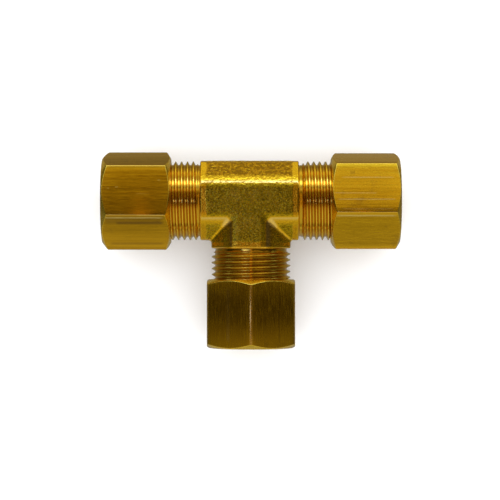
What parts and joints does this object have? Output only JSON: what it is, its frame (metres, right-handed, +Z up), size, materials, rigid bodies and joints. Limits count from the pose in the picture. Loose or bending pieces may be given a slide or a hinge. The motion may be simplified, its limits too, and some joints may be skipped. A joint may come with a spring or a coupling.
{
  "type": "compression tee fitting",
  "caption": "Forged brass tee for small tube: an octagonal body with threaded arms, hexagonal compression nuts that unscrew, and a ferrule inside each nut.",
  "frame": {"origin": "middle of the footprint, on the surface that the tee lies on", "axes": "+X along the run towards the right nut, +Y away from the branch, which points along -Y, +Z up out of the flat side of the tee"},
  "size_m": [0.0538, 0.0356, 0.0183],
  "materials": {
    "forged_brass": "satin",
    "machined_brass": "polished",
    "ferrule_brass": "polished"
  },
  "bodies": {
    "tee": {"tee_body": "forged_brass"},
    "left_ferrule": {"left_ferrule": "ferrule_brass"},
    "left_nut": {"left_nut": "machined_brass"},
    "right_ferrule": {"right_ferrule": "ferrule_brass"},
    "right_nut": {"right_nut": "machined_brass"},
    "branch_ferrule": {"branch_ferrule": "ferrule_brass"},
    "branch_nut": {"branch_nut": "machined_brass"}
  },
  "joints": [
    {"name": "left_draw", "type": "slide", "parent": "tee", "child": "left_ferrule", "axis": [-1, 0, 0], "range_m": [0, 0.0075]},
    {"name": "left_nut_turn", "type": "hinge", "parent": "left_ferrule", "child": "left_nut", "pos_m": [-0.021, 0.00883, 0.00916], "axis": [-1, 0, 0], "range_deg": [0, 2520]},
    {"name": "right_draw", "type": "slide", "parent": "tee", "child": "right_ferrule", "axis": [1, 0, 0], "range_m": [0, 0.0075]},
    {"name": "right_nut_turn", "type": "hinge", "parent": "right_ferrule", "child": "right_nut", "pos_m": [0.021, 0.00883, 0.00916], "axis": [1, 0, 0], "range_deg": [0, 2520]},
    {"name": "branch_draw", "type": "slide", "parent": "tee", "child": "branch_ferrule", "axis": [0, -1, 0], "range_m": [0, 0.0075]},
    {"name": "branch_nut_turn", "type": "hinge", "parent": "branch_ferrule", "child": "branch_nut", "pos_m": [0, -0.01192, 0.00916], "axis": [0, -1, 0], "range_deg": [0, 2520]}
  ],
  "couplings": [
    {"joint": "left_draw", "follows": "left_nut_turn", "m_per_rad": 0.00016844},
    {"joint": "right_draw", "follows": "right_nut_turn", "m_per_rad": 0.00016844},
    {"joint": "branch_draw", "follows": "branch_nut_turn", "m_per_rad": 0.00016844}
  ]
}
